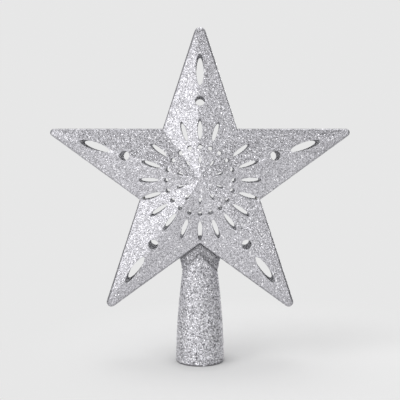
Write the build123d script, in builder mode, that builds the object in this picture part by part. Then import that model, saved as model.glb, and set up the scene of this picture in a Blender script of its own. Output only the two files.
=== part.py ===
"""Pierced five-point star for the top of a tree: two hollow half stars on a tapered socket."""
import os
from math import atan2, cos, radians, sin, tan

from build123d import *

# Driving dimensions, in millimetres and degrees

# Star outline and depth
star_height = 129.3
star_radius = 117.9
top_tip_radius = 4.1
side_tip_radius = 2.7
lower_tip_radius = 3.3
rim_depth = 10.5
peak_depth = 21.0
wall_draft = 2.0
shell_wall = 1.6
edge_radius = 1.0

# Piercings, from the centre outwards
petal_ring_radius = 14.4
petal_length = 5.0
petal_width = 1.9
petal_count = 10
dot_ring_radius = 23.6
dot_diameter = 3.3
dot_count = 20
leaf_ring_radius = 35.8
leaf_length = 14.3
leaf_width = 3.4
leaf_pitch = 18.0
round_diameter = 7.0
round_share = 0.53
blade_tip_inset = 40.3
blade_length = 22.4
blade_width = 5.4

# Pegs that line up the two halves
peg_tip_inset = 23.9
peg_diameter = 4.0
peg_depth = 7.0
boss_wall = 1.6

# Cement bead along the inside of the seam
bead_width = 1.2
bead_height = 1.2
bead_inner_radius = 1.0

# Tree socket
mouth_radius = 17.0
mouth_wall = 1.6
mouth_land = 8.0
mouth_round = 0.4
draw_in_power = 1.9
neck_drop = 19.6
neck_half_width = 12.4
neck_half_depth = 8.9
neck_round = 6.0
collar_half_width = 14.7
collar_half_depth = 9.4
saddle_half_width = 19.0
saddle_half_depth = 9.8
socket_wall = 1.8
cap_thickness = 4.0

# Key that joins the star to the socket
key_half_width = 6.5
key_half_depth = 6.0
head_half_width = 11.0
head_half_depth = 8.0
head_thickness = 1.8
stub_diameter = 10.0

# Clearances
seam_gap = 0.15
peg_gap = 0.05
peg_end_gap = 0.2
key_gap = 0.1
stub_gap = 0.05

# Regular five-point star: every edge line lies at one distance from the centre,
# and the tips are listed from the top one round to the left
points = 5
point_pitch = 360 / points
notch_angle = point_pitch / 2
upright = 90
outer_tips = [top_tip_radius, side_tip_radius, lower_tip_radius, lower_tip_radius, side_tip_radius]
edge_distance = star_radius * cos(radians(point_pitch))
notch_radius = edge_distance / cos(radians(notch_angle))
draft_run = tan(radians(wall_draft))
rim_edge_distance = edge_distance - rim_depth * draft_run
roof_angle = atan2(peak_depth - rim_depth, rim_edge_distance)

# Inside of a half star, one wall in from the outside
inner_edge_distance = edge_distance - shell_wall
inner_tips = [rounding - shell_wall for rounding in outer_tips]
roof_drop = shell_wall / cos(roof_angle)
inner_peak_depth = peak_depth - roof_drop
inner_rim_depth = rim_depth + shell_wall * tan(roof_angle) - roof_drop

# Front half: the seam is at zero depth and the peak points to the viewer
star_plane = Plane(origin=(0, 0, star_height), x_dir=(1, 0, 0), z_dir=(0, -1, 0))


def star_outline(edge, roundings, depth):
    """Star face with rounded tips, its edges at one distance from the centre."""
    corners = []
    for index in range(2 * points):
        reach = edge / cos(radians(notch_angle if index % 2 else point_pitch))
        angle = radians(upright + index * notch_angle)
        corners.append((reach * cos(angle), reach * sin(angle), 0))
    with BuildSketch(star_plane.offset(depth)) as outline:
        with BuildLine():
            Polyline(*corners, close=True)
        make_face()
        for corner, rounding in zip(corners[::2], roundings):
            fillet(outline.vertices().sort_by_distance(corner)[0], radius=rounding)
    return outline.sketch


def half_star(edge, roundings, rim, peak):
    """Solid half star: a drafted rim below ten facets that meet at the peak."""
    rim_edge = edge - rim * draft_run
    with BuildPart() as block:
        seam_face = star_outline(edge, roundings, 0)
        rim_face = star_outline(rim_edge, roundings, rim)
        loft(sections=[seam_face, rim_face], ruled=True)
        loft(sections=[rim_face, Vertex(star_plane.from_local_coords((0, 0, peak)))], ruled=True)
    return block.part


def chevron(near, far, half_width):
    """Roof-shaped sketch under the bottom notch between two distances from the star's centre."""
    lean = radians(notch_angle)

    def height(distance, across):
        return -(distance + across * sin(lean)) / cos(lean)

    with BuildSketch(star_plane) as band:
        with BuildLine():
            Polyline(
                (0, height(near, 0)),
                (half_width, height(near, half_width)),
                (half_width, height(far, half_width)),
                (0, height(far, 0)),
                (-half_width, height(far, half_width)),
                (-half_width, height(near, half_width)),
                close=True,
            )
        make_face()
    return band.sketch


# In each arm the blade keeps its place from the tip, and the round hole sits about midway to it from the leaves
blade_ring_radius = star_radius - blade_tip_inset
leaf_end = leaf_ring_radius + leaf_length / 2
blade_end = blade_ring_radius - blade_length / 2
round_ring_radius = leaf_end + round_share * (blade_end - leaf_end)

# All the piercings of one half as one sketch, left unpierced beside the top arm's two notches
with BuildSketch(star_plane) as piercings:
    with PolarLocations(petal_ring_radius, petal_count, start_angle=upright):
        Ellipse(petal_length / 2, petal_width / 2)
    with PolarLocations(dot_ring_radius, dot_count, start_angle=upright):
        Circle(dot_diameter / 2)
    for bare_angle, span in ((upright - notch_angle, point_pitch), (upright + notch_angle, 360 - point_pitch)):
        with PolarLocations(
            leaf_ring_radius,
            round(span / leaf_pitch) - 1,
            start_angle=bare_angle + leaf_pitch,
            angular_range=span - 2 * leaf_pitch,
            endpoint=True,
        ):
            Ellipse(leaf_length / 2, leaf_width / 2)
    with PolarLocations(round_ring_radius, points, start_angle=upright):
        Circle(round_diameter / 2)
    with PolarLocations(blade_ring_radius, points, start_angle=upright):
        Ellipse(blade_length / 2, blade_width / 2)

# Bosses and their peg holes share these places: one in each arm and one at the centre
peg_hole_radius = peg_diameter / 2 + peg_gap
boss_radius = peg_hole_radius + boss_wall
peg_ring_radius = star_radius - peg_tip_inset
peg_places = [(0, 0)]
for index in range(points):
    peg_angle = radians(upright + index * point_pitch)
    peg_places.append((peg_ring_radius * cos(peg_angle), peg_ring_radius * sin(peg_angle)))

# Hollow of one half, with the bosses left standing
with BuildPart() as hollow:
    add(half_star(inner_edge_distance, inner_tips, inner_rim_depth, inner_peak_depth))
    with BuildSketch(star_plane.offset(seam_gap)):
        with Locations(*peg_places):
            Circle(boss_radius)
    extrude(amount=peak_depth, mode=Mode.SUBTRACT)

# Front half of the star
with BuildPart() as front_shell:
    add(half_star(edge_distance, outer_tips, rim_depth, peak_depth))
    depth_axis = Axis(star_plane.origin, star_plane.z_dir)
    fillet(front_shell.edges().filter_by_position(depth_axis, rim_depth, rim_depth), radius=edge_radius)
    add(hollow.part, mode=Mode.SUBTRACT)
    extrude(piercings.sketch, amount=peak_depth, mode=Mode.SUBTRACT)
    with BuildSketch(star_plane.offset(seam_gap)):
        with Locations(*peg_places):
            Circle(peg_hole_radius)
    extrude(amount=peg_depth, mode=Mode.SUBTRACT)
    opening = chevron(inner_edge_distance - head_thickness, edge_distance + shell_wall, key_half_width + key_gap)
    extrude(opening, amount=key_half_depth + key_gap, mode=Mode.SUBTRACT)
front_shell.part.label = "front_shell"

# Rear half of the star, the same moulding turned to face the other way
with BuildPart() as rear_shell:
    mirror(front_shell.part, about=Plane.XZ)
rear_shell.part.label = "rear_shell"

# Pegs, each half in a front boss and half in a rear boss
peg_length = 2 * (seam_gap + peg_depth - peg_end_gap)
with BuildPart() as locating_pegs:
    with BuildSketch(star_plane):
        with Locations(*peg_places):
            Circle(peg_diameter / 2)
    extrude(amount=peg_length / 2, both=True)
    chamfer(locating_pegs.edges().filter_by(GeomType.CIRCLE), length=peg_gap + peg_end_gap)
locating_pegs.part.label = "locating_pegs"

# Seats on either side of the notch walls, as distances from the star's centre
head_seat = inner_edge_distance - head_half_depth * draft_run - key_gap
saddle_seat = edge_distance + key_gap
notch_height = star_height - notch_radius
neck_height = notch_height - neck_drop
cap_height = neck_height - cap_thickness

# Cement bead, a ring of both halves that stops beside the head of the key
with BuildPart() as seam_cement:
    seam_face = star_outline(inner_edge_distance, inner_tips, 0)
    bead_face = star_outline(inner_edge_distance - bead_height * draft_run, inner_tips, bead_height)
    loft(sections=[seam_face, bead_face], ruled=True)
    bead_edge = inner_edge_distance - bead_width
    bead_inside = star_outline(bead_edge, points * [bead_inner_radius], 0)
    extrude(bead_inside, amount=bead_height, mode=Mode.SUBTRACT)
    key_room = chevron(bead_edge - head_thickness, edge_distance, head_half_width + key_gap)
    extrude(key_room, amount=bead_height, mode=Mode.SUBTRACT)
    mirror(about=Plane.XZ)
seam_cement.part.label = "seam_cement"

# Key: a roof-shaped head inside the star, a block through the notch and a stub into the socket
with BuildPart() as neck_key:
    head_top = head_seat - head_thickness
    extrude(chevron(head_top, head_seat, head_half_width), amount=head_half_depth, both=True)
    extrude(chevron(head_top, saddle_seat, key_half_width), amount=key_half_depth, both=True)
    with BuildSketch(Plane.XY.offset(cap_height)):
        Circle(stub_diameter / 2)
    extrude(amount=notch_height - cap_height)
neck_key.part.label = "neck_key"

# Socket: a round mouth drawn in to an oval neck, then flared to a gable that fills the notch


def oval(half_width, half_depth, height):
    """Level oval section of the socket."""
    with BuildSketch(Plane.XY.offset(height)) as section:
        Ellipse(half_width, half_depth)
    return section.sketch


def skirt_section(height, inset):
    """Oval section of the skirt, drawn in from the round mouth to the neck."""
    share = (height / neck_height) ** draw_in_power
    half_width = mouth_radius + share * (neck_half_width - mouth_radius)
    half_depth = mouth_radius + share * (neck_half_depth - mouth_radius)
    return oval(half_width - inset, half_depth - inset, height)


def skirt(bottom, top, inset):
    """Smooth sections of the skirt at the bottom, halfway up and at the top."""
    return [skirt_section(height, inset) for height in (bottom, (bottom + top) / 2, top)]


with BuildPart() as tree_socket:
    loft(sections=skirt(0, neck_height, 0))
    collar = oval(collar_half_width, collar_half_depth, (neck_height + notch_height) / 2)
    saddle = oval(saddle_half_width, saddle_half_depth, notch_height)
    loft(sections=[skirt_section(neck_height, 0), collar, saddle])
    fillet(tree_socket.edges().filter_by_position(Axis.Z, neck_height, neck_height), radius=neck_round)
    fillet(tree_socket.edges().sort_by(Axis.Z)[0], radius=mouth_round)
    above_gable = chevron(0, saddle_seat, 2 * saddle_half_width)
    extrude(above_gable, amount=2 * saddle_half_depth, both=True, mode=Mode.SUBTRACT)
    with BuildSketch(Plane.XY):
        Circle(mouth_radius - mouth_wall)
    extrude(amount=mouth_land, mode=Mode.SUBTRACT)
    loft(sections=skirt(mouth_land, cap_height, socket_wall), mode=Mode.SUBTRACT)
    with BuildSketch(Plane.XY.offset(cap_height)):
        Circle(stub_diameter / 2 + stub_gap)
    extrude(amount=notch_height - cap_height, mode=Mode.SUBTRACT)
tree_socket.part.label = "tree_socket"

os.makedirs("parts", exist_ok=True)
for piece in (front_shell, rear_shell, locating_pegs, seam_cement, neck_key, tree_socket):
    export_step(piece.part, f"parts/{piece.part.label}.step")
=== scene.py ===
# %% [markdown]
# # A pierced glitter star for the top of a tree
# The star is two hollow plastic halves glued together on a tapered foot, and nearly all that shows
# of it is covered in silver glitter. Glitter is thousands of tiny mirrors, each lying at its own
# angle. A bump map could fake them, but real facets also catch the light from every side and survive
# an export, so here the coat is modelled flake by flake, on shapes worked out in millimetres.

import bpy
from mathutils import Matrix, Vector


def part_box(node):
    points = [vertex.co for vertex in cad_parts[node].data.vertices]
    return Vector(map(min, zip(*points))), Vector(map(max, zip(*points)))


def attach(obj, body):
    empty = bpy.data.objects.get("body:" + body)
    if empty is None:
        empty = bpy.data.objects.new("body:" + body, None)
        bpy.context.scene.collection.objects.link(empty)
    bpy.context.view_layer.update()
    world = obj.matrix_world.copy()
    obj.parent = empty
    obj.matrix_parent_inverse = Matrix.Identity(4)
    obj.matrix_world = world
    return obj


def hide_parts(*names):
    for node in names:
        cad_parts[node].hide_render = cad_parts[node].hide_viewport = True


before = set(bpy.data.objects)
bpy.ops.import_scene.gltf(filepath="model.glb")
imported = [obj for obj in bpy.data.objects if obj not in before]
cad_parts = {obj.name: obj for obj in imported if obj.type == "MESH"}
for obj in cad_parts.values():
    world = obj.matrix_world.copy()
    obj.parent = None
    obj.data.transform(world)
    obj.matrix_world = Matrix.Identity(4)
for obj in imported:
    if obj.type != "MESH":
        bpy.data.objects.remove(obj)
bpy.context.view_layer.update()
print("nodes:", sorted(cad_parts))

# %% [markdown]
# ## Sizes of the moulding
# A visual model that replaces a solid has to sit exactly where the solid is. The star is regular,
# so a few sizes give everything: how far its edges lie from its centre, how deep the rim is, and
# how far the ten facets rise to the peak. They could be measured off the solids one by one, but
# the same short list that shaped the solids is easier to read.

# %% Sizes in millimetres
import math

import bmesh
import bpy
import numpy as np
from mathutils import Vector
from mathutils.geometry import delaunay_2d_cdt

MM = 0.001
POINTS = 5
TURN = math.radians(360 / POINTS)
HALF_TURN = TURN / 2
STAR_HEIGHT, STAR_RADIUS = 129.3, 117.9
TIP_RADII = [4.1, 2.7, 3.3, 3.3, 2.7]
RIM, PEAK = 10.5, 21.0
DRAFT = math.tan(math.radians(2))
WALL = 1.6

EDGE = STAR_RADIUS * math.cos(TURN)
rim_edge = EDGE - RIM * DRAFT
roof_angle = math.atan2(PEAK - RIM, rim_edge)
inner_edge = EDGE - WALL
inner_tips = [radius - WALL for radius in TIP_RADII]
inner_peak = PEAK - WALL / math.cos(roof_angle)
inner_rim = RIM + WALL * math.tan(roof_angle) - WALL / math.cos(roof_angle)
print(f"edge {EDGE:.2f} mm, facets rise at {math.degrees(roof_angle):.1f} degrees")

# %% [markdown]
# ## The outline
# Seen from the front each arm ends in a small round tip and each notch is sharp. The outline is
# needed many times over at slightly different sizes, for the rim, its rounding and the inside,
# so a function draws it. It always returns the same number of points in the same order, which
# is what lets two outlines be joined by a simple strip of quads later.

# %% Star outline with rounded tips
EDGE_STEPS, ARC_STEPS = 86, 11


def polar(reach, angle):
    """A place in the star's plane, from its distance out and its angle."""
    return reach * np.array([math.cos(angle), math.sin(angle)])


def arc(centre, radius, turn):
    """Points round a centre, one at each angle."""
    return centre + radius * np.stack([np.cos(turn), np.sin(turn)], 1)


def tip_angle(index):
    """Angle of one arm: the first points up, and the rest follow leftwards."""
    return math.radians(90 + 360 / POINTS * index)


def star_outline(edge, radii, notch_inset=0.0):
    """Points round a star whose edges lie at one distance from its centre."""
    tips = []
    for index, radius in enumerate(radii):
        centre = polar(edge / math.cos(TURN) - radius / math.sin(HALF_TURN / 2), tip_angle(index))
        tips.append(arc(centre, radius, tip_angle(index) + np.linspace(-TURN, TURN, ARC_STEPS + 1)))
    share = np.linspace(0, 1, EDGE_STEPS + 1)[1:, None]
    ring = []
    for index, tip in enumerate(tips):
        notch = polar((edge + notch_inset) / math.cos(HALF_TURN), tip_angle(index) + HALF_TURN)
        leave, arrive = tip[-1], tips[(index + 1) % POINTS][0]
        ring += [tip, leave + share * (notch - leave), notch + share[:-1] * (arrive - notch)]
    return np.concatenate(ring)


rim_outline = star_outline(rim_edge, TIP_RADII)
low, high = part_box("front_shell")
print(f"{len(rim_outline)} points; outline {np.ptp(star_outline(EDGE, TIP_RADII)[:, 0]):.1f} mm wide, "
      f"solid {(high.x - low.x) / MM:.1f} mm")

# %% [markdown]
# ## The roof
# The ten facets are straight lines drawn from the peak to the rim, so the depth of any point
# follows from one number: how far out it lies, as a share of the outline in that direction.
# That share is also a handy test for what is inside the star.

# %% Share of the way out, and depth


def share_out(places, outline):
    """0 at the centre and 1 on the outline, for each place in the star's plane."""
    angle = np.arctan2(outline[:, 1], outline[:, 0])
    order = np.argsort(angle)
    angle, reach = angle[order], np.hypot(outline[:, 0], outline[:, 1])[order]
    asked = np.arctan2(places[:, 1], places[:, 0])
    return np.hypot(places[:, 0], places[:, 1]) / np.interp(asked, angle, reach, period=2 * math.pi)


def roof_depth(places, outline, rim, peak):
    """Depth of the facets in front of the seam."""
    return peak - (peak - rim) * share_out(places, outline)


centre_and_tip = np.array([[0, 0], rim_outline[0]])
print("depth at the centre and at a tip:", roof_depth(centre_and_tip, rim_outline, RIM, PEAK))

# %% [markdown]
# ## The piercings
# From the centre outwards each half has a ring of small petals, a ring of dots, a ring of leaves,
# and in each arm a round hole and a long blade. All of them are ovals that point away from the
# centre, so a list of ovals holds the whole pattern. The two leaves beside the top arm's notches
# are missing on the real star, and so they are here.

# %% List the ovals: distance out, angle, length, width
MISSING_LEAVES = (2, 18)


def oval_circle(count, reach, length, width, missing=()):
    """Equal ovals all round the centre, the first of them straight up."""
    turns = [turn for turn in range(count) if turn not in missing]
    return [(reach, 90 + 360 / count * turn, length, width) for turn in turns]


petals = oval_circle(10, 14.4, 5.0, 1.9)
dots = oval_circle(20, 23.6, 3.3, 3.3)
leaves = oval_circle(20, 35.8, 14.3, 3.4, MISSING_LEAVES)
rounds = oval_circle(POINTS, 55.38, 7.0, 7.0)
blades = oval_circle(POINTS, 77.6, 22.4, 5.4)
ovals = petals + dots + leaves + rounds + blades
print(len(ovals), "piercings in each half")

# %% Rings round the ovals
FLAKE = 0.72
LEAST_STEPS = 16
ROUND_SHARE, WIDTH_SHARE = 2.2, 0.6


def oval_axes(angle):
    """Directions along and across an oval: away from the centre, and at right angles to that."""
    out = polar(1.0, math.radians(angle))
    return out, np.array([-out[1], out[0]])


def oval_ring(oval, swell=0.0):
    """Points round one oval, about a flake apart, made larger all round by the swell."""
    reach, angle, length, width = oval
    out, across = oval_axes(angle)
    way_round = ROUND_SHARE * (length + WIDTH_SHARE * width)
    steps = max(LEAST_STEPS, round(way_round / FLAKE))
    turn = np.linspace(0, 2 * math.pi, steps, endpoint=False)[:, None]
    along = (length / 2 + swell) * np.cos(turn) * out
    aside = (width / 2 + swell) * np.sin(turn) * across
    return reach * out + along + aside


def inside_oval(places, oval, swell):
    """Which places lie in one oval, made larger all round by the swell."""
    reach, angle, length, width = oval
    out, across = oval_axes(angle)
    offset = places - reach * out
    along = offset @ out / (length / 2 + swell)
    aside = offset @ across / (width / 2 + swell)
    return along**2 + aside**2 < 1


print(len(oval_ring(blades[0])), "points round a blade,", len(oval_ring(petals[0])), "round a petal")

# %% [markdown]
# ## A sheet of flakes
# A pierced facet could be cut out with booleans, but those leave long thin triangles, and each
# triangle here is to be one flake. A Delaunay triangulation of scattered points gives even
# triangles instead, and it can be told to keep the outline and the rims of the holes as edges.
# Triangles that fall in a hole are then thrown away.

# %% Scatter points inside an outline
ROW_PITCH, UNEVEN = 0.866, 0.3
TRIAL_SPACING, TRIAL_MARGIN, TRIAL_SEED = 6.0, 0.5, 1


def scatter(outline, holes, spacing, margin, rng):
    """Points in an uneven honeycomb, clear of the outline and of the holes."""
    reach = np.abs(outline).max() + spacing
    rows = np.arange(-reach, reach, spacing * ROW_PITCH)
    across, up = np.meshgrid(np.arange(-reach, reach, spacing), rows)
    across = across + (np.arange(len(rows)) % 2)[:, None] * spacing / 2
    field = np.stack([across.ravel(), up.ravel()], 1)
    field = field + rng.uniform(-UNEVEN, UNEVEN, field.shape) * spacing
    keep = (1 - share_out(field, outline)) * rim_edge > margin
    for hole in holes:
        keep &= ~inside_oval(field, hole, margin)
    return field[keep]


trial_sizes = TRIAL_SPACING, TRIAL_MARGIN
trial_points = scatter(rim_outline, ovals, *trial_sizes, np.random.default_rng(TRIAL_SEED))
print("a coarse trial scatters", len(trial_points), "points inside the star")

# %% Triangulate an outline with holes
MERGE = 1e-7
HOLE_SLACK = 0.125


def sheet(outline, holes, hole_rings, spacing, margin, rng):
    """Places, triangles, and the indices of the outline and of each hole's ring."""
    rings = [outline] + hole_rings
    starts = np.cumsum([0] + [len(ring) for ring in rings])
    indices = [np.arange(start, start + len(ring)) for start, ring in zip(starts, rings)]
    edges = []
    for ring in indices:
        edges += zip(ring.tolist(), np.roll(ring, -1).tolist())
    places = np.concatenate(rings + [scatter(outline, holes, spacing, margin, rng)])
    made = delaunay_2d_cdt([Vector(place) for place in places], edges, [], 0, MERGE)
    faces, sources = made[2], made[3]
    faces = np.array([source[0] for source in sources])[np.array(faces)]
    middle = places[faces].mean(1)
    inside = share_out(middle, outline) < 1
    for hole in holes:
        inside &= ~inside_oval(middle, hole, margin * HOLE_SLACK)
    return places, faces[inside], indices[0], indices[1:]


trial_rings = [oval_ring(oval) for oval in ovals]
trial_sheet = sheet(rim_outline, ovals, trial_rings, *trial_sizes, np.random.default_rng(TRIAL_SEED))
print("a coarse trial sheet has", len(trial_sheet[1]), "triangles")

# %% [markdown]
# ## Gathering a shape
# A half star is many patches: the flaked face, the rim, the walls of the holes, the inside, the
# bosses. Each patch adds points and faces to one list, and neighbours share the points along
# their common edge, so the result is one closed skin with nothing loose.

# %% A shape that grows patch by patch
COAT, BARE = 0, 1


class Shape:
    """Points, faces and the finish of each face, gathered patch by patch."""

    def __init__(self, seed):
        self.points, self.faces, self.finish, self.wear = [], [], [], []
        self.count = 0
        self.rng = np.random.default_rng(seed)

    def add(self, points):
        """Add points and return their numbers."""
        self.points.append(np.asarray(points, float))
        self.count += len(points)
        return np.arange(self.count - len(points), self.count)

    def add_shaken(self, points, shake):
        """Add points, each moved at random by no more than the shake."""
        return self.add(points + self.rng.uniform(-shake, shake, points.shape))

    def face(self, corners, finish, wear=0.0):
        """Add faces, given as rows of point numbers, with one painted shade for all or one for each."""
        rows = np.asarray(corners).tolist()
        self.faces += rows
        self.finish += [finish] * len(rows)
        self.wear += np.broadcast_to(wear, len(rows)).tolist()

    def strip(self, near, far, finish, skip=(), wear=0.0):
        """Join two closed rings of the same length, each quad split along a random diagonal."""
        keep = np.array([index not in skip for index in range(len(near))])
        a, b = near[keep], np.roll(near, -1)[keep]
        d, c = far[keep], np.roll(far, -1)[keep]
        swing = self.rng.random(len(a)) < 0.5
        one = np.where(swing[:, None], np.stack([a, b, c], 1), np.stack([a, b, d], 1))
        two = np.where(swing[:, None], np.stack([a, c, d], 1), np.stack([b, c, d], 1))
        wear = np.broadcast_to(wear, len(near))[keep]
        self.face(np.concatenate([one, two]), finish, np.tile(wear, 2))

    def strips(self, rings, finish):
        """Join each ring of a list to the next."""
        for near, far in zip(rings, rings[1:]):
            self.strip(near, far, finish)

    def mesh(self, name):
        """The finished mesh, flat shaded, with a random number and the painted shade of each face."""
        data = bpy.data.meshes.new(name)
        data.from_pydata((np.concatenate(self.points) * MM).tolist(), [], self.faces)
        builder = bmesh.new()
        builder.from_mesh(data)
        bmesh.ops.recalc_face_normals(builder, faces=builder.faces)
        builder.to_mesh(data)
        builder.free()
        data.polygons.foreach_set("material_index", np.array(self.finish, np.int32))
        for label, values in (("flake", self.rng.random(len(self.faces))), ("wear", self.wear)):
            attribute = data.attributes.new(label, "FLOAT", "FACE")
            attribute.data.foreach_set("value", np.array(values, np.float32))
        return data


print("material of the glitter coat:", COAT, "and of the bare plastic:", BARE)

# %% [markdown]
# ## One half of the star, outside
# The glitter lies on the facets and down the rim. To make flakes of the triangles, every point of
# the coat is moved a little at random, forwards or backwards on the facets and any way on the rim,
# so that each triangle tilts its own way and mirrors another bit of the studio. Points on the seam
# stay put, so that the two halves still meet. The rim's front edge is rounded in four steps, and
# a fine groove marks the seam. A bevel modifier could round the edge, but not flake by flake.
# Each face also carries a painted shade, which the material turns into a darker coat with fewer
# glints: on the rounded edge, darkest where it faces sideways, and towards the tips of the arms.

# %% Rounding of the front edge
ROUNDING, ROUND_STEPS = 1.8, 4
NOTCH_SHARE = 0.45


def in_space(places, depth):
    """Star-plane places at a depth in front of the seam, as points in space."""
    return np.stack([places[:, 0], -np.broadcast_to(depth, len(places)), places[:, 1] + STAR_HEIGHT], 1)


def inset_outline(inset, depth):
    """The rim's outline at a depth, drawn in all round, but less in the notches."""
    radii = [radius - inset for radius in TIP_RADII]
    return star_outline(EDGE - depth * DRAFT - inset, radii, NOTCH_SHARE * inset)


bend = np.linspace(roof_angle, math.radians(90), ROUND_STEPS + 1)
round_insets = ROUNDING * (1 - np.sin(bend))
round_depths = RIM + ROUNDING * (math.tan(roof_angle) - 1 / math.cos(roof_angle) + np.cos(bend))
face_outline = inset_outline(round_insets[0], round_depths[0])
print(f"the facets are flat over {np.ptp(face_outline[:, 0]):.1f} mm, then rounded")

# %% Coat the facets
TILT, EDGE_TILT = 0.115, 0.4
LIP, LIP_PUSH = 0.3, -0.05
# Distances out along an arm, and the painted shade there, darker towards the tips
TIP_SHADE = [66.0, 104.0], [0.0, 0.42]


def coat_facets(shape):
    """Add the flakes of the facets; returns the numbers of their outline and of each hole's lip."""
    lip_rings = [oval_ring(oval, LIP) for oval in ovals]
    places, flakes, edge, lips = sheet(face_outline, ovals, lip_rings, FLAKE, FLAKE / 2, shape.rng)
    push = shape.rng.uniform(-TILT, TILT, len(places))
    push[edge] *= EDGE_TILT
    push[np.concatenate(lips)] = LIP_PUSH
    numbers = shape.add(in_space(places, roof_depth(places, rim_outline, RIM, PEAK) + push))
    # Painted shade, darker towards the tips of the arms
    out_along_arm = np.hypot(*places[flakes].mean(1).T)
    shape.face(numbers[flakes], COAT, np.interp(out_along_arm, *TIP_SHADE))
    return numbers[edge], [numbers[lip] for lip in lips]


print(f"flakes of {FLAKE} mm, pushed by up to {TILT} mm")

# %% Find the doorway in the notch, and the shade painted on the edges
DOOR_DEPTH, DOOR_HALF = 6.1, 6.6
# How far an edge faces up, from -1 to 1, and the painted shade there: least facing up
EDGE_SHADE = [-0.8, 0.3, 1.0], [1.0, 1.95, 0.2]

notch = np.array([0, -rim_edge / math.cos(HALF_TURN)])
bottom = int(np.argmin(np.hypot(*(rim_outline - notch).T)))
half = int(np.argmax(np.roll(np.abs(rim_outline[:, 0]), -bottom) >= DOOR_HALF))
doorway = range(bottom - half, bottom + half)
along = np.roll(rim_outline, -1, 0) - rim_outline
facing_up = -along[:, 0] / np.hypot(*along.T)
worn = np.interp(facing_up, *EDGE_SHADE)
print(f"doorway {len(doorway)} columns wide, edge wear {worn.min():.2f} to {worn.max():.2f}")

# %% Coat the rim
ROUND_SHAKE, SIDE_SHAKE, SEAM_SHAKE = 0.07, 0.17, 0.05
ABOVE_DOOR, BESIDE_DOOR = 4, 7
DOOR_ROW = ROUND_STEPS + ABOVE_DOOR
LAST_DEPTH, GROOVE = 0.4, 0.25

side_depths = np.linspace(round_depths[-1], DOOR_DEPTH, ABOVE_DOOR + 1)[1:].tolist()
side_depths += np.linspace(DOOR_DEPTH, LAST_DEPTH, BESIDE_DOOR + 1)[1:].tolist()
rim_rows = [(inset, depth, ROUND_SHAKE) for inset, depth in zip(round_insets[1:], round_depths[1:])]
rim_rows += [(0, depth, SIDE_SHAKE if depth > LAST_DEPTH else SEAM_SHAKE) for depth in side_depths]
rim_rows += [(GROOVE, 0, 0)]


def coat_rim(shape, edge):
    """Add flakes from the facets' outline down to the seam; returns the numbers of each row."""
    rows = [edge]
    for inset, depth, shake in rim_rows:
        rows.append(shape.add_shaken(in_space(inset_outline(inset, depth), depth), shake))
    for index, (near, far) in enumerate(zip(rows, rows[1:])):
        skip = doorway if index >= DOOR_ROW else ()
        # Painted shade on the rounded edge, set by which way the edge faces
        shape.strip(near, far, COAT, skip, worn if index < ROUND_STEPS else 0.0)
    return rows


print(len(rim_rows), "rows of flakes from the facets to the seam")

# %% [markdown]
# ## One half of the star, inside
# The inside shows through the holes, so it can't be left out. It is a plain sheet one wall further
# in, with far larger triangles, because nothing is glued to it. A solidify modifier could make it,
# but that would copy every flake and know nothing of the bosses, the round posts that hold the pegs.
# In the bottom notch the rim has a doorway, through which the key holds the foot.

# %% Line the roof and the holes
INNER_SPACING, INNER_MARGIN, INNER_LIMIT = 5.0, 0.6, 0.985
BOSS, BOSS_REACH, BOSS_STEPS = 3.65, 94.0, 24

inner_outline = star_outline(inner_edge - inner_rim * DRAFT, inner_tips)
bosses = [(0.0, 90, 2 * BOSS, 2 * BOSS)] + oval_circle(POINTS, BOSS_REACH, 2 * BOSS, 2 * BOSS)
peg_places = [polar(reach, math.radians(angle)) for reach, angle, _, _ in bosses]


def circle(centre, radius):
    """Points round a boss or its hole."""
    return arc(centre, radius, np.linspace(0, 2 * math.pi, BOSS_STEPS, endpoint=False))


def inner_ring(oval):
    """A hole's ring on the inside, drawn in where it would leave the star."""
    ring = oval_ring(oval)
    return ring * np.minimum(1, INNER_LIMIT / share_out(ring, inner_outline))[:, None]


def line_roof(shape):
    """Add the inside of the roof; returns the numbers of its outline and of each ring in it."""
    rings = [inner_ring(oval) for oval in ovals] + [circle(place, BOSS) for place in peg_places]
    places, plain, edge, rings = sheet(
        inner_outline, ovals + bosses, rings, INNER_SPACING, INNER_MARGIN, shape.rng)
    numbers = shape.add(in_space(places, roof_depth(places, inner_outline, inner_rim, inner_peak)))
    shape.face(numbers[plain], BARE)
    return numbers[edge], [numbers[ring] for ring in rings]


def wall_holes(shape, lips, rings):
    """Add the wall of each hole, coated only on its rounded lip."""
    for oval, lip, ring in zip(ovals, lips, rings):
        throat = oval_ring(oval)
        throat = shape.add(in_space(throat, roof_depth(throat, rim_outline, RIM, PEAK) - LIP))
        shape.strip(lip, throat, COAT)
        shape.strip(throat, ring, BARE)


print(f"inside {np.ptp(inner_outline[:, 0]):.1f} mm wide, with {len(bosses)} bosses")

# %% Bosses, seam and doorway
PEG_HOLE, PEG_DEPTH, SEAM_GAP = 2.05, 7.15, 0.15
BOSS_RINGS = (BOSS, SEAM_GAP), (PEG_HOLE, SEAM_GAP), (PEG_HOLE, PEG_DEPTH)


def raise_bosses(shape, rings):
    """Add the bosses, each with a blind hole for its peg."""
    for place, ring in zip(peg_places, rings):
        post = [shape.add(in_space(circle(place, radius), depth)) for radius, depth in BOSS_RINGS]
        shape.strips([ring] + post, BARE)
        shape.face([post[-1]], BARE)


def close_seam(shape, rows, roof_edge):
    """Add the inside of the rim, the face of the seam, and the frame of the doorway."""
    upper = star_outline(inner_edge - DOOR_DEPTH * DRAFT, inner_tips)
    upper = shape.add(in_space(upper, DOOR_DEPTH))
    lower = shape.add(in_space(star_outline(inner_edge, inner_tips), 0))
    shape.strip(roof_edge, upper, BARE)
    shape.strip(upper, lower, BARE, doorway)
    shape.strip(rows[-1], lower, BARE, doorway)
    lintel = rows[DOOR_ROW]
    for column in doorway:
        shape.face([[lintel[column], lintel[column + 1], upper[column + 1], upper[column]]], BARE)
    for column in (doorway.start, doorway.stop):
        shape.face([[row[column] for row in rows[DOOR_ROW:]] + [lower[column], upper[column]]], BARE)


print(f"bosses {2 * BOSS} mm wide, their holes {2 * PEG_HOLE} mm")

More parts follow.
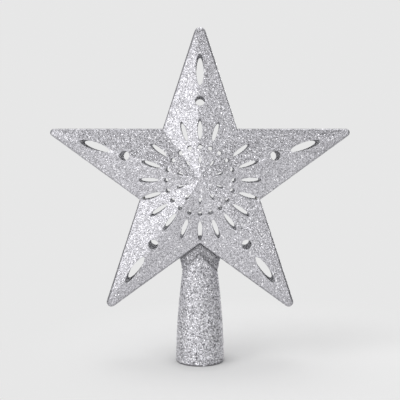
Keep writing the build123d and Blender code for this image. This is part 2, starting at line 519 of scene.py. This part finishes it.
# %% Build both halves
FRONT_SEED, REAR_SEED = 11, 12
FRONT_TO_BACK = [1, -1, 1]


def half_star(seed):
    """Closed skin of the front half, coated outside and bare inside."""
    shape = Shape(seed)
    edge, lips = coat_facets(shape)
    rows = coat_rim(shape, edge)
    roof_edge, rings = line_roof(shape)
    wall_holes(shape, lips, rings)
    raise_bosses(shape, rings[len(ovals):])
    close_seam(shape, rows, roof_edge)
    return shape


front_shape = half_star(FRONT_SEED)
rear_shape = half_star(REAR_SEED)
rear_shape.points = [points * FRONT_TO_BACK for points in rear_shape.points]
print(f"front half: {front_shape.count} points, {len(front_shape.faces)} faces")
print(f"rear half: {rear_shape.count} points, {len(rear_shape.faces)} faces")

# %% [markdown]
# ## The foot
# The foot slips over the tip of the tree. Its mouth is round, it draws in to an oval neck, and above
# the neck it flares out again into a gable that fits up into the star's bottom notch. A collar under
# the gable stands a little proud of the tube, with a lower edge like a chevron. The foot could be a
# lathe shape squashed by a modifier, but the gable needs its own cut, so it is built from rings:
# each ring is an oval, and each column of points stops where it meets the gable.

# %% Width and depth of the foot at any height
SEAT_GAP, NECK_DROP = 0.1, 19.6
NOTCH = STAR_HEIGHT - EDGE / math.cos(HALF_TURN)
SEAT = STAR_HEIGHT - (EDGE + SEAT_GAP) / math.cos(HALF_TURN)
NECK = NOTCH - NECK_DROP
MOUTH, NECK_HALF, SKIRT_CURVE = 17.0, (12.4, 8.9), 1.9
COLLAR, SADDLE = (14.7, 9.4), (19.0, 9.8)
CREASE, CREASE_SAMPLES, CREASE_REACH = 3.0, 13, 5.0


def foot_half(height, axis):
    """Half width (axis 0) or half depth (axis 1) of the foot's outside."""
    skirt = MOUTH + np.clip(height / NECK, 0, 1) ** SKIRT_CURVE * (NECK_HALF[axis] - MOUTH)
    rise = np.clip((height - NECK) / (NOTCH - NECK), 0, None)
    low, mid, top = NECK_HALF[axis], COLLAR[axis], SADDLE[axis]
    # A parabola through the neck, the collar half way up, and the saddle in the notch
    flare = low + rise * (4 * mid - 3 * low - top) + rise**2 * (2 * low + 2 * top - 4 * mid)
    return np.where(height < NECK, skirt, flare)


def soft_half(height, axis):
    """The same, with the crease at the neck rounded."""
    spread = np.linspace(-CREASE, CREASE, CREASE_SAMPLES)
    near_neck = np.exp(-(((height - NECK) / CREASE_REACH) ** 2))
    blurred = np.mean([foot_half(height + step, axis) for step in spread], 0)
    return foot_half(height, axis) * (1 - near_neck) + blurred * near_neck


seat_half = foot_half(np.array(SEAT), 0)
print(f"neck at {NECK:.1f} mm, gable at {SEAT:.1f} mm, half width there {seat_half:.1f} mm")

# %% Rings of the foot, with the step of the collar
COLLAR_BAND, COLLAR_SLOPE, COLLAR_LEDGE, COLLAR_PROUD = 6.3, 1.0, 0.5, 0.3
FOOT_COLUMNS = 130
columns = np.linspace(0, 2 * math.pi, FOOT_COLUMNS, endpoint=False)


def collar_edge(across):
    """Height of the collar's lower edge, which runs steeper than the gable."""
    return SEAT - COLLAR_BAND - np.abs(across) * COLLAR_SLOPE


def stepped_half(height, axis):
    """The outside with the collar standing proud of the plain tube below it."""
    tube = np.minimum(soft_half(height, axis), np.where(height > NECK, NECK_HALF[axis], np.inf))
    above = np.clip((height - collar_edge(NECK_HALF[0] * np.cos(columns))) / COLLAR_LEDGE, 0, 1)
    return tube + above * (soft_half(height, axis) + COLLAR_PROUD - tube)


def foot_ring(height, inset=0.0):
    """One ring of the foot, at one height for all columns or one for each."""
    height = np.broadcast_to(height, FOOT_COLUMNS)
    across = (stepped_half(height, 0) - inset) * np.cos(columns)
    back = (stepped_half(height, 1) - inset) * np.sin(columns)
    return np.stack([across, back, height], 1)


def round_ring(radius, height):
    """A level, circular ring."""
    level = np.full(FOOT_COLUMNS, height)
    return np.stack([radius * np.cos(columns), radius * np.sin(columns), level], 1)


print(f"the collar starts {COLLAR_BAND} mm below the gable's ridge")

# %% Build the foot
FOOT_SEED = 17
SLOPE = math.tan(HALF_TURN)
MEETING_ROUNDS = 30
MOUTH_ROUNDING, MOUTH_MIDDLE = 0.4, 0.12
# Painted contact shade along the lowest rows of the mouth
MOUTH_SHADE, SHADED_ROWS = 1.6, 3
STUB, CAP_DROP, SEAT_SHARES = 5.05, 4.0, (0.35, 0.7, 1.0)
LAND, LAND_RADIUS = 8.0, 15.4
FOOT_WALL, INNER_RINGS = 1.8, 9

gable = np.full(FOOT_COLUMNS, SEAT)
for _ in range(MEETING_ROUNDS):
    gable = SEAT - np.abs(soft_half(gable, 0) * np.cos(columns)) * SLOPE


def coat_foot(shape):
    """Add the flakes from the mouth up to the gable; returns the numbers of each row."""
    rows = [shape.add(round_ring(MOUTH - MOUTH_ROUNDING, 0.0))]
    rows.append(shape.add(round_ring(MOUTH - MOUTH_MIDDLE, MOUTH_MIDDLE)))
    for share in np.linspace(0, 1, round(SEAT / FLAKE) + 1):
        row = foot_ring(MOUTH_ROUNDING + share * (gable - MOUTH_ROUNDING))
        rows.append(shape.add_shaken(row, SIDE_SHAKE if 0 < share < 1 else 0.0))
    for index, (near, far) in enumerate(zip(rows, rows[1:])):
        shape.strip(near, far, COAT, (), MOUTH_SHADE if index < SHADED_ROWS else 0.0)
    return rows


def line_foot(shape, rows):
    """Add the seat in the gable, the bore of the key's stub, and the hollow down to the mouth."""
    outer, bore = foot_ring(gable), round_ring(STUB, 0.0)
    rings = []
    for share in SEAT_SHARES:
        seat = outer + share * (bore - outer)
        seat[:, 2] = SEAT - np.abs(seat[:, 0]) * SLOPE
        rings.append(seat)
    cap = NECK - CAP_DROP
    rings.append(round_ring(STUB, cap))
    rings += [foot_ring(height, FOOT_WALL) for height in np.linspace(cap, LAND, INNER_RINGS)]
    rings += [round_ring(LAND_RADIUS, LAND), round_ring(LAND_RADIUS, 0.0)]
    shape.strips([rows[-1]] + [shape.add(ring) for ring in rings] + [rows[0]], BARE)


foot_shape = Shape(FOOT_SEED)
line_foot(foot_shape, coat_foot(foot_shape))
print(f"foot: {foot_shape.count} points, {len(foot_shape.faces)} faces")

# %% [markdown]
# ## Shader maths as Python
# Materials are node trees, and a tree of Math nodes is hard to read. A small class that wraps a
# socket lets an expression such as 1 - mask build the nodes by itself. Colours and vectors use
# Mix and Vector Math nodes, because a Math node would turn a colour grey. A few helpers add the
# nodes that come up most often.

# %% A socket that can be calculated with


class Wire:
    """One output in a node tree; arithmetic on it adds Math nodes."""

    def __init__(self, tree, socket=None):
        self.tree, self.socket = tree, socket

    def node(self, kind, settings=None, sockets=None, output=0):
        """Add a node, set it up, connect its sockets, and return one of its outputs."""
        made = self.tree.nodes.new(kind)
        for name, value in (settings or {}).items():
            setattr(made, name, value)
        for name, value in (sockets or {}).items():
            if isinstance(value, Wire):
                self.tree.links.new(value.socket, made.inputs[name])
            else:
                made.inputs[name].default_value = value
        return Wire(self.tree, made.outputs[output]) if len(made.outputs) else made

    def math(self, operation, *values):
        """A Math node."""
        return self.node("ShaderNodeMath", {"operation": operation}, dict(enumerate(values)))

    def vector(self, operation, *values):
        """A Vector Math node."""
        return self.node("ShaderNodeVectorMath", {"operation": operation}, dict(enumerate(values)))

    def other(self, name):
        """Another output of the same node."""
        return Wire(self.tree, self.socket.node.outputs[name])

    def ease(self, low, high, first=0.0, last=1.0):
        """A smooth change from the first value to the last while this one goes from low to high."""
        return self.node("ShaderNodeMapRange", {"interpolation_type": "SMOOTHSTEP"}, {
            "Value": self, "From Min": low, "From Max": high, "To Min": first, "To Max": last})

    def colour(self, share, first, second):
        """A colour between two others."""
        return self.node("ShaderNodeMix", {"data_type": "RGBA"}, {0: share, 6: first, 7: second}, 2)

    def __add__(self, other):
        return self.math("ADD", self, other)

    def __sub__(self, other):
        return self.math("SUBTRACT", self, other)

    def __rsub__(self, other):
        return self.math("SUBTRACT", other, self)

    def __mul__(self, other):
        return self.math("MULTIPLY", self, other)

    def __gt__(self, other):
        return self.math("GREATER_THAN", self, other)

    __radd__ = __add__
    __rmul__ = __mul__


print("a wire can:", [name for name in vars(Wire) if not name.startswith("_")])

# %% Helpers for materials


def new_material(name):
    """An empty material and a wire to start building from."""
    material = bpy.data.materials.new(name)
    material.use_nodes = True
    material.node_tree.nodes.clear()
    return material, Wire(material.node_tree)


def show(start, surface):
    """Make a shader the surface of its material."""
    start.node("ShaderNodeOutputMaterial", None, {"Surface": surface})


def object_place(start):
    """Where a point lies on its object, in metres."""
    return start.node("ShaderNodeTexCoord", None, None, "Object")


def noise(start, place, scale, detail):
    """Smooth noise."""
    return start.node("ShaderNodeTexNoise", None, {"Vector": place, "Scale": scale, "Detail": detail}, 0)


def cells(start, place, scale, output):
    """A scatter of cells: their random colours, or the distance from their middles."""
    return start.node("ShaderNodeTexVoronoi", None, {"Vector": place, "Scale": scale}, output)


def channel(start, colour, index):
    """One channel of a colour, as a number."""
    return start.node("ShaderNodeSeparateColor", None, {0: colour}, index)


def face_value(start, name):
    """A number that every face of the mesh carries."""
    return start.node("ShaderNodeAttribute", {"attribute_name": name}, None, "Fac")


def random_number(start, seed):
    """A number from 0 to 1 that is different for each seed."""
    return start.node("ShaderNodeTexWhiteNoise", {"noise_dimensions": "1D"}, {"W": seed}, "Value")


print("materials that came with the frame:", len(bpy.data.materials))

# %% [markdown]
# ## The glitter coat
# Each flake is a scrap of metallised film: most are pale silver, some lie in the shade of others
# and look dark. Every triangle of the coat carries its own random number, and white noise turns that
# number into a tone and a gloss. A finer scatter of cells breaks each triangle up, for flakes too
# small to model, and leans their normals a little, and two coarser ones paint glints: white, less
# metallic spots that stand for flakes catching the light. The film is nearly neutral, with a touch
# of lavender, and painted shade darkens it on the edges, towards the tips and round the mouth. On
# the foot the shade that the star's overhang casts on the joint is painted in too: the coat is
# darkened below the gable and the collar, less so on the left, where the key light reaches in.

# %% Painted glints, and the painted shade in the joint
# Painted glints: white spots that stand for flakes catching the light
GLINT_CELLS, GLINT_CHOICE, GLINT_RIM, GLINT_TONES = 420.0, 0.5, (0.16, 0.34), (0.3, 0.5)
LARGE_CELLS, LARGE_CHOICE, LARGE_RIM, LARGE_WHITE = 300.0, 0.55, (0.14, 0.24), 0.9
# Painted shade under the star's overhang, lighter on the left, where the key light reaches in
LEFT_TO_MIDDLE = -0.011, 0.002
STEP_FADE, BAND_FADE, TUBE_FADE = (-0.0002, 0.0004), (0.0, 0.0025), (0.0005, 0.0034)
BAND_START, BAND_ENDS, TUBE_STARTS = 0.15, (0.54, 0.47), (0.75, 0.15)


def painted_glints(start, place, tone):
    """Painted glints: 1 on white flakes, small ones on the brighter triangles, and fewer, larger ones
    anywhere.
    """
    small = cells(start, place, GLINT_CELLS, "Distance")
    chosen = channel(start, small.other("Color"), 1) > GLINT_CHOICE
    small = small.ease(*GLINT_RIM, 1.0, 0.0) * chosen * tone.ease(*GLINT_TONES)
    large = cells(start, place, LARGE_CELLS, "Distance")
    rare = channel(start, large.other("Color"), 2) > LARGE_CHOICE
    return start.math("MAXIMUM", small, large.ease(*LARGE_RIM, LARGE_WHITE, 0.0) * rare)


def painted_overhang_shade(start, place):
    """Painted shade: the share of light that the star's overhang leaves to the foot; distances are in
    metres.
    """
    across = start.node("ShaderNodeSeparateXYZ", None, {0: place}, "X")
    aside = start.math("ABSOLUTE", across)
    below_gable = SEAT * MM - aside * SLOPE - across.other("Z")
    below_collar = (SEAT - COLLAR_BAND) * MM - aside * COLLAR_SLOPE - across.other("Z")
    on_tube = below_collar.ease(*STEP_FADE)
    band_end = across.ease(*LEFT_TO_MIDDLE, *BAND_ENDS)
    tube_start = across.ease(*LEFT_TO_MIDDLE, *TUBE_STARTS)
    band = below_gable.ease(*BAND_FADE, BAND_START, band_end)
    tube = below_collar.ease(*TUBE_FADE, tube_start, 1.0)
    return band * (1 - on_tube) + tube * on_tube


print(f"small glints {1 / GLINT_CELLS / MM:.1f} mm apart, large ones {1 / LARGE_CELLS / MM:.1f} mm")

# %% Glitter material
PALE, PAINTED_GLINT_WHITE = (0.885, 0.877, 0.925, 1), (0.98, 0.975, 1.0, 1)
TONE_SEEDS, GLOSS_SEEDS, GLOSS_FIRST = 731.0, 911.0, 5.0
FINE_CELLS, FINE_SHARE = 2200.0, 0.28
MOTTLE_SCALE, MOTTLE_DETAIL, MOTTLE = 300.0, 2.0, 0.12
SHADE_DEPTH, SHADE_GLINT_LOSS = 0.48, 0.4
MIDDLE_GREY, LEAN = (0.5, 0.5, 0.5), (0.28, 0.28, 0.28)
METAL, METAL_LOSS = 0.9, 0.8
ROUGH_LEAST, ROUGH_SPREAD = 0.15, 0.4


def glitter_coat(name, contrast, middle, deep, joint=False):
    """The coat, with the shade of the star's overhang painted on the foot's joint if asked for."""
    material, start = new_material(name)
    place = object_place(start)
    flake, wear = face_value(start, "flake"), face_value(start, "wear")
    tone = random_number(start, flake * TONE_SEEDS)
    gloss = random_number(start, flake * GLOSS_SEEDS + GLOSS_FIRST)
    fine = cells(start, place, FINE_CELLS, "Color")
    mixed = tone * (1 - FINE_SHARE) + channel(start, fine, 0) * FINE_SHARE
    mottle = noise(start, place, MOTTLE_SCALE, MOTTLE_DETAIL)
    shade = (mixed - 0.5) * contrast + (mottle - 0.5) * MOTTLE + middle
    # Painted shade on edges, tips and mouth darkens the film and takes away painted glints
    shade = shade * (1 - wear * SHADE_DEPTH)
    glint = painted_glints(start, place, tone) * (1 - wear * SHADE_GLINT_LOSS)
    # Painted shade of the star's overhang on the foot's joint
    if joint:
        light = painted_overhang_shade(start, place)
        shade, glint = shade * light, glint * light
    # Painted glints turn the film white, and less metallic below
    film = start.colour(glint, start.colour(shade, deep, PALE), PAINTED_GLINT_WHITE)
    lean = start.vector("MULTIPLY", start.vector("SUBTRACT", fine, MIDDLE_GREY), LEAN)
    normal = start.vector("ADD", start.node("ShaderNodeNewGeometry", None, None, "Normal"), lean)
    show(start, start.node("ShaderNodeBsdfPrincipled", None, {
        "Base Color": film, "Metallic": METAL - glint * METAL_LOSS,
        "Roughness": gloss * ROUGH_SPREAD + ROUGH_LEAST, "Normal": start.vector("NORMALIZE", normal)}))
    return material


glitter = glitter_coat(
    "silver_glitter", contrast=1.2, middle=0.54, deep=(0.26, 0.257, 0.275, 1))
foot_glitter = glitter_coat(
    "silver_glitter_foot", contrast=2.15, middle=0.615, deep=(0.16, 0.158, 0.169, 1), joint=True)
print("glitter nodes:", len(glitter.node_tree.nodes), "and", len(foot_glitter.node_tree.nodes))

# %% [markdown]
# ## Bare plastic and cement
# Inside the star and in the holes the glitter stops and the moulding itself shows: pale plastic
# with the faint cloudiness and fine grain of a mould surface. The hidden key and pegs are plain
# plastic too, and the bead of cement along the seam is a cloudy cream. One helper makes all of
# these, because they differ only in colour, gloss and grain.

# %% Plastic and cement materials
CLOUD_SCALE, CLOUD_DETAIL, CLOUD_ROUGH = 140.0, 3.0, 0.15
GRAIN_SCALE, GRAIN_DETAIL, GRAIN_DEPTH = 2600.0, 2.0, 0.0001


def moulded(name, pale, deep, roughness, grain):
    """A cloudy, finely grained material between two colours."""
    material, start = new_material(name)
    place = object_place(start)
    cloud = noise(start, place, CLOUD_SCALE, CLOUD_DETAIL)
    fine = noise(start, place, GRAIN_SCALE, GRAIN_DETAIL)
    bump = start.node("ShaderNodeBump", None, {
        "Height": fine, "Strength": grain, "Distance": GRAIN_DEPTH})
    show(start, start.node("ShaderNodeBsdfPrincipled", None, {
        "Base Color": start.colour(cloud, deep, pale),
        "Roughness": cloud * CLOUD_ROUGH + roughness, "Normal": bump}))
    return material


bare = moulded("bare_plastic", (0.93, 0.93, 0.955, 1), (0.86, 0.86, 0.89, 1), 0.45, 0.4)
plain = moulded("plain_plastic", (0.47, 0.47, 0.49, 1), (0.40, 0.40, 0.42, 1), 0.4, 0.3)
cement = moulded("dried_cement", (0.74, 0.73, 0.68, 1), (0.62, 0.61, 0.55, 1), 0.25, 0.5)
print("materials:", [material.name for material in bpy.data.materials])

# %% [markdown]
# ## Putting the pieces in place
# The three glittered pieces replace their solids, and ride on the one rigid body of the star.
# The key, the pegs and the cement keep their solids, which have the right shape already, and
# only get a better material.

# %% Make the pieces


def place_piece(shape, name, node, coat):
    """Add a finished shape to the scene in place of a solid."""
    piece = bpy.data.objects.new(name, shape.mesh(name))
    bpy.context.scene.collection.objects.link(piece)
    piece.data.materials.append(coat)
    piece.data.materials.append(bare)
    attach(piece, "root")
    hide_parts(node)
    print(name, "triangles:", sum(len(face) - 2 for face in shape.faces))


place_piece(front_shape, "front_half_glitter", "front_shell", glitter)
place_piece(rear_shape, "rear_half_glitter", "rear_shell", glitter)
place_piece(foot_shape, "foot_glitter", "tree_socket", foot_glitter)
for node, material in (("neck_key", plain), ("locating_pegs", plain), ("seam_cement", cement)):
    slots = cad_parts[node].data.materials
    slots.clear()
    slots.append(material)

# %% [markdown]
# ## The studio
# The photograph has a plain pale grey backdrop. The world shows that grey to the camera, and an even
# light falls on the object. Glitter takes its tone from what it mirrors, so reflections see more,
# as in a photographer's studio: dark flags at both sides, a dim band above the camera, and bright
# cards to its left and right. Real planes could stand there too, but they would throw shadows.
# Each limit below is a part of a unit direction: across to the right, up, or back from the camera.

# %% Dark flags and a dim band
RIGHT_FLAG, LEFT_FLAG, BEHIND_GAP = 0.97, 0.95, 0.6

world = bpy.data.worlds.new("studio")
bpy.context.scene.world = world
world.use_nodes = True
world.node_tree.nodes.clear()
sky = Wire(world.node_tree)
direction = sky.node("ShaderNodeTexCoord", None, None, "Generated")
across = sky.node("ShaderNodeSeparateXYZ", None, {0: direction}, "X")
up, back = across.other("Z"), across.other("Y")
in_front = back.ease(-0.5, -0.2, 1.0, 0.0)

right_flag = across.ease(0.4, 0.6) * back.ease(-0.8, -0.55) * RIGHT_FLAG
left_flag = across.ease(-0.92, -0.76, LEFT_FLAG, 0.0)
at_sides = up.ease(0.28, 0.46, 1.0, 0.0) * back.ease(0.55, 0.75, 1.0, 0.0)
flags = (right_flag + left_flag) * at_sides
gap = up.ease(0.16, 0.42) * up.ease(0.7, 0.86, 1.0, 0.0)
gap = gap * (in_front + back.ease(0.4, 0.7) * BEHIND_GAP)
gap = gap * across.ease(-0.25, 0.25, 0.7, 0.88) * across.ease(0.3, 0.6, 1.0, 0.35)
dark = 1 - (1 - flags) * (1 - gap)
print("nodes for the dark parts:", len(world.node_tree.nodes))

# %% Bright cards, and the world
BACKDROP, NIGHT, DAY = (0.80, 0.80, 0.80, 1), (0.0, 0.0, 0.0, 1), (1.0, 1.0, 1.0, 1)
AMBIENT = 0.8
RIGHT_CARD = 2.3


def in_mirrors(start):
    """1 for rays that were reflected."""
    return start.node("ShaderNodeLightPath", None, None, "Is Glossy Ray")


def seen_directly(start):
    """1 for rays that look at the backdrop, straight on or in a reflection."""
    rays = start.node("ShaderNodeLightPath", None, None, "Is Camera Ray")
    looking = rays + rays.other("Is Glossy Ray") + rays.other("Is Transmission Ray")
    return start.math("MINIMUM", looking, 1.0)


right_card = across.ease(0.2, 0.45) * up.ease(0.05, 0.3, 0.3, 1.0) * RIGHT_CARD
left_card = across.ease(-0.4, -0.15, 1.0, 0.0)
low_down = up.ease(-0.1, 0.25, 0.35, 1.0) * up.ease(0.3, 0.5, 1.0, 0.0)
cards = (right_card + left_card) * low_down * in_front
mirrored = in_mirrors(sky)
seen = sky.node("ShaderNodeBackground", None, {
    "Color": sky.colour(mirrored * dark, BACKDROP, NIGHT), "Strength": cards * mirrored + 1.0})
even_light = sky.node("ShaderNodeBackground", None, {"Color": DAY, "Strength": AMBIENT})
sky.node("ShaderNodeOutputWorld", None, {
    "Surface": sky.node("ShaderNodeMixShader", None, {0: seen_directly(sky), 1: even_light, 2: seen})})
print("world nodes:", len(world.node_tree.nodes))

# %% [markdown]
# ## The floor
# The backdrop runs into the floor without a line, and one soft shadow falls to the right. The floor
# near the star is matt and takes the real shadow, and it is darker in the narrow shade round the foot,
# which an ambient occlusion node finds. Away from the shadow it fades into the grey of the backdrop,
# so that no horizon shows behind the star. Further to the right, outside the picture, reflections
# see it darker, as if a dark sheet lay there, which tones down the facets that face that way.

# %% Floor
FLOOR_RADIUS, FLOOR_SIDES = 1.2, 96

floor_builder = bmesh.new()
bmesh.ops.create_circle(floor_builder, cap_ends=True, segments=FLOOR_SIDES, radius=FLOOR_RADIUS)
floor_data = bpy.data.meshes.new("studio_floor")
floor_builder.to_mesh(floor_data)
floor_builder.free()
floor = bpy.data.objects.new("studio_floor", floor_data)
bpy.context.scene.collection.objects.link(floor)
print("floor radius", FLOOR_RADIUS, "m")

# %% Floor material
SHADOW_PLACE, SHADOW_FADE = (0.05, 0.04, 0.0), (0.08, 0.2)
SHADE, SHADE_REACH, SHADE_RAYS = (0.6, 0.6, 0.6, 1), 0.015, 8
SHEET_FADE, SHEET_SHARE = (0.26, 0.36), 0.5

paper, start = new_material("backdrop_paper")
place = object_place(start)
tucked_in = start.node("ShaderNodeBsdfDiffuse", None, {"Color": SHADE})
open_floor = start.node("ShaderNodeBsdfDiffuse", None, {"Color": BACKDROP})
openness = start.node(
    "ShaderNodeAmbientOcclusion", {"samples": SHADE_RAYS}, {"Distance": SHADE_REACH}, "AO")
matt = start.node("ShaderNodeMixShader", None, {0: openness, 1: tucked_in, 2: open_floor})
glow = start.node("ShaderNodeEmission", None, {"Color": BACKDROP, "Strength": 1.0})
unlit = start.node("ShaderNodeEmission", None, {"Color": NIGHT, "Strength": 0.0})
to_the_right = start.node("ShaderNodeSeparateXYZ", None, {0: place}, "X").ease(*SHEET_FADE)
dark_sheet = to_the_right * in_mirrors(start) * SHEET_SHARE
glow = start.node("ShaderNodeMixShader", None, {0: dark_sheet, 1: glow, 2: unlit})
fade = start.vector("DISTANCE", place, SHADOW_PLACE).other("Value").ease(*SHADOW_FADE)
show(start, start.node("ShaderNodeMixShader", None, {0: fade * seen_directly(start), 1: matt, 2: glow}))
floor_data.materials.append(paper)
print("floor nodes:", len(paper.node_tree.nodes))

# %% [markdown]
# ## The lights
# On the real star the facets that face left are brightest, the rest are nearly even, and the shadow
# falls to the right. So the key is a broad soft sun from the left front. A higher one, which
# reflections don't see, throws the shadow, and one overhead lights the tops. Small suns that only
# reflections see make single flakes spark, two in front and one behind, and a wider one behind
# keeps the back alive. Suns are used, because their light doesn't change with distance.

# %% Soft lights and sparks: direction towards the light, strength, width in degrees
SPARK, SPARK_WIDTH = 0.06, 5
SPARKS = {
    "left_spark": (-0.35, -0.9, 0.25),
    "right_spark": (0.45, -0.87, 0.2),
    "back_spark": (0.3, 0.93, 0.2),
}


def soft_light(name, towards, strength, width):
    """A sun whose width softens its shadows."""
    lamp = bpy.data.lights.new(name, "SUN")
    lamp.energy = strength
    lamp.angle = math.radians(width)
    light = bpy.data.objects.new(name, lamp)
    light.rotation_mode = "QUATERNION"
    light.rotation_quaternion = Vector(towards).to_track_quat("Z", "Y")
    bpy.context.scene.collection.objects.link(light)
    return light


soft_light("key", (-0.7, -0.65, 0.29), 0.72, 60)
soft_light("high", (-0.6, -0.37, 0.71), 0.32, 26).visible_glossy = False
soft_light("top", (0.0, 0.15, 0.99), 0.4, 36)
for name, towards in SPARKS.items():
    soft_light(name, towards, SPARK, SPARK_WIDTH).visible_diffuse = False
soft_light("behind", (0.5, 0.86, 0.05), 0.33, 24).visible_diffuse = False
print("lights:", [light.name for light in bpy.data.lights])

# %% [markdown]
# ## The camera
# The holes show how the photograph was taken: the rear holes shift behind the front ones towards one
# point of the picture, which lies straight ahead of the lens. That point is above the middle of the
# picture, while the star's arms don't converge. So the camera looks level, from about half a metre
# away, and the picture is shifted down rather than the camera tilted.

# %% Camera
FOCAL_PIXELS, PICTURE_PIXELS = 708.7, 400
HORIZON_ROW = 161.0
CAMERA_PLACE = (0, -0.5085, 0.1427)

view = bpy.data.cameras.new("camera")
view.sensor_width = 36.0
view.lens = view.sensor_width * FOCAL_PIXELS / PICTURE_PIXELS
view.shift_y = (HORIZON_ROW - PICTURE_PIXELS / 2) / PICTURE_PIXELS
view.clip_start = 0.01
camera = bpy.data.objects.new("camera", view)
camera.location = CAMERA_PLACE
camera.rotation_euler = (math.radians(90), 0, 0)
bpy.context.scene.collection.objects.link(camera)
bpy.context.scene.camera = camera
bpy.context.scene.view_settings.view_transform = "Standard"
print(f"lens {view.lens:.1f} mm, shift {view.shift_y:.3f}")

# %% [markdown]
# ## The flakes and the solids
# The flakes stand a fraction of a millimetre proud of the solids, and no more.
